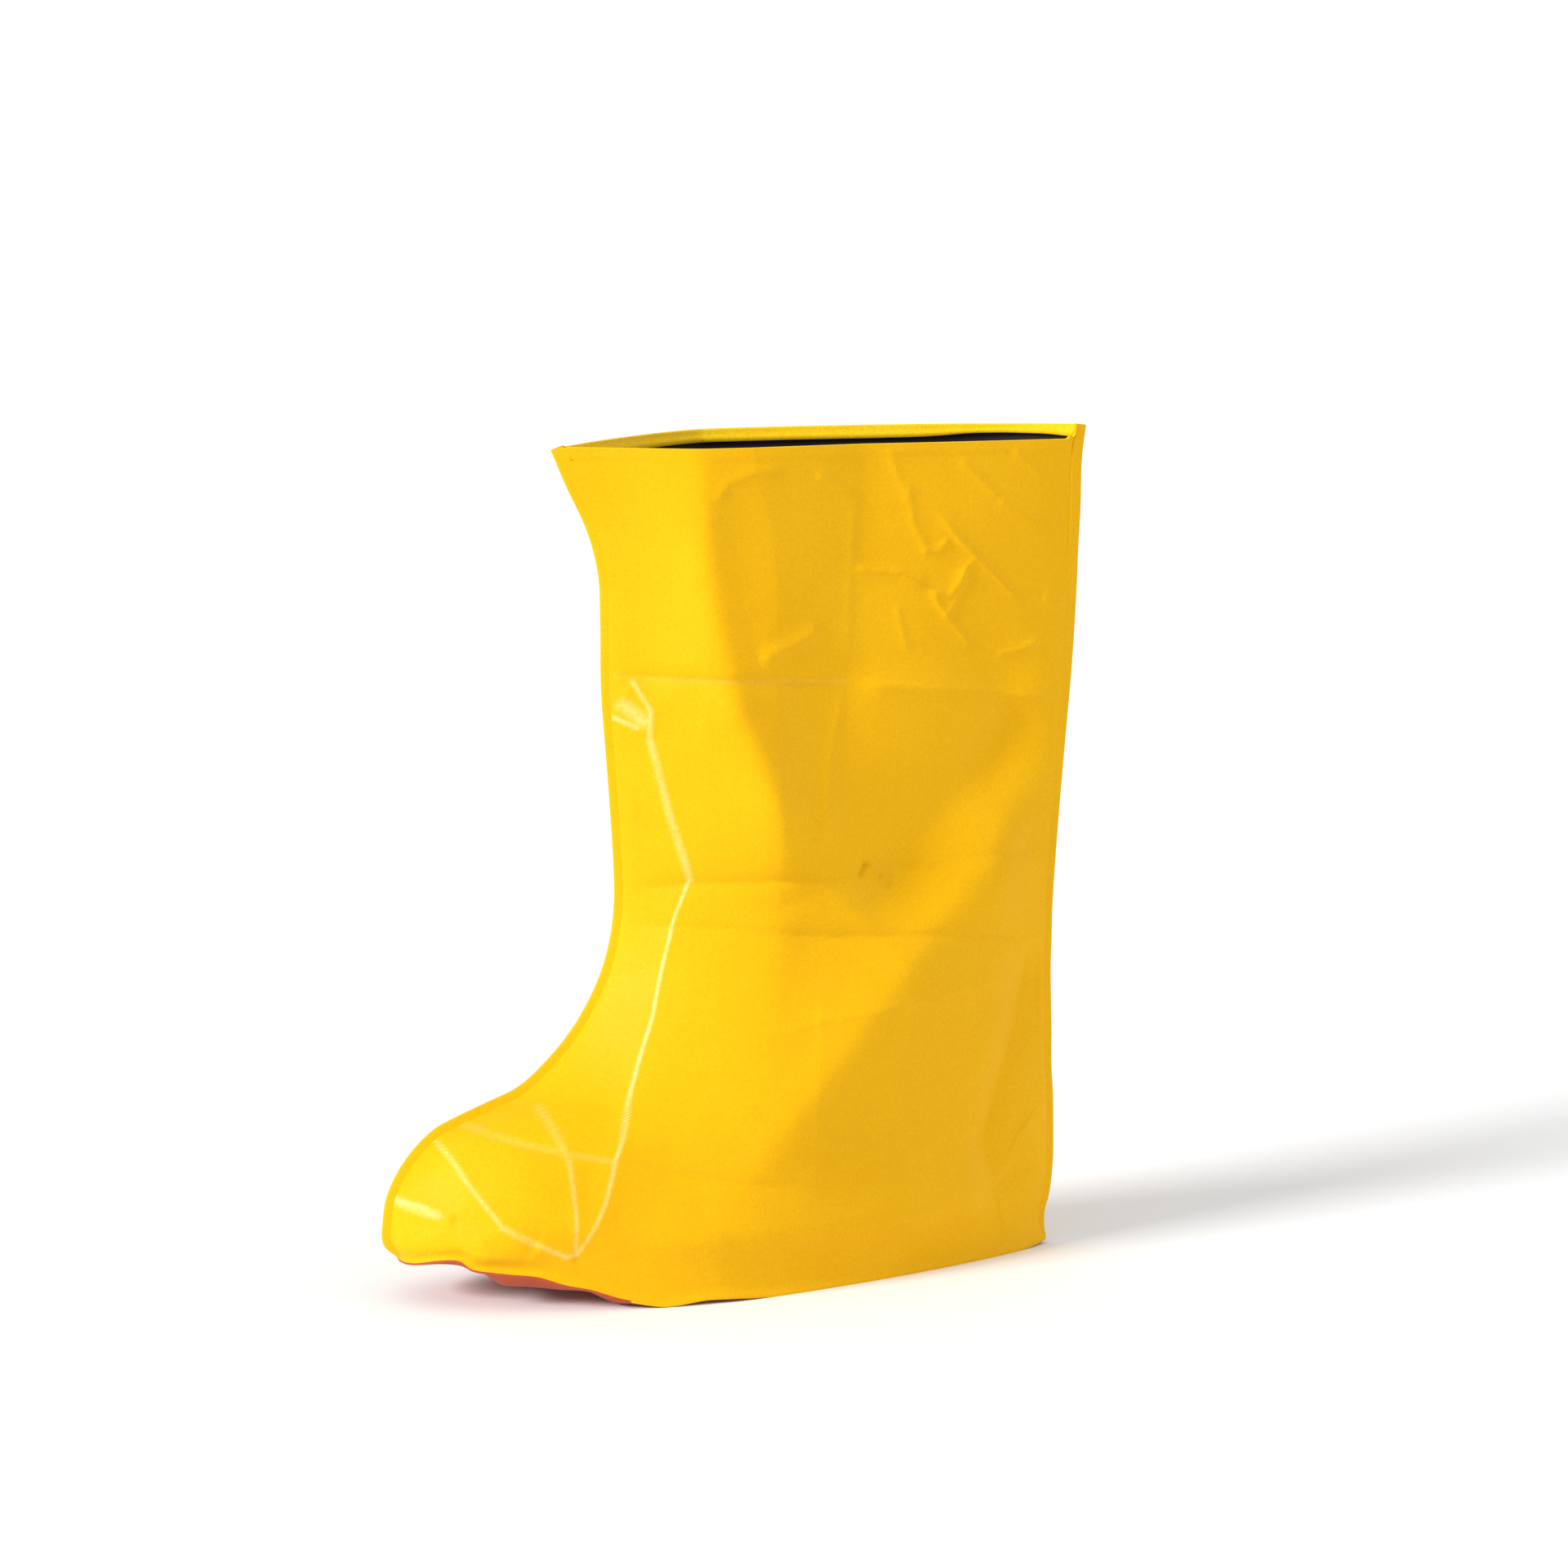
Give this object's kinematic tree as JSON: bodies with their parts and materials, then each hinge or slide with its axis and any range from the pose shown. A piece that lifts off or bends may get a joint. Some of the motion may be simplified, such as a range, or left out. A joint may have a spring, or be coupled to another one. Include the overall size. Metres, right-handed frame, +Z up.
{
  "type": "vinyl boot cover",
  "caption": "Knee-high slip-on boot cover of thin welded vinyl: hollow shaft and foot, open at the collar, with weld fins front and back, an inner hem band and a turned-up toe.",
  "frame": {"origin": "middle of the bounding box's bottom face, on the floor under the cover", "axes": "+X to the toe, +Y to the wearer's left, +Z up the shaft"},
  "size_m": [0.4048, 0.131, 0.458],
  "materials": {
    "side_vinyl": "satin",
    "sole_vinyl": "satin"
  },
  "bodies": {
    "root": {"upper": "side_vinyl", "collar_hem": "side_vinyl", "front_weld": "side_vinyl", "back_weld": "side_vinyl", "sole": "sole_vinyl"}
  },
  "joints": []
}
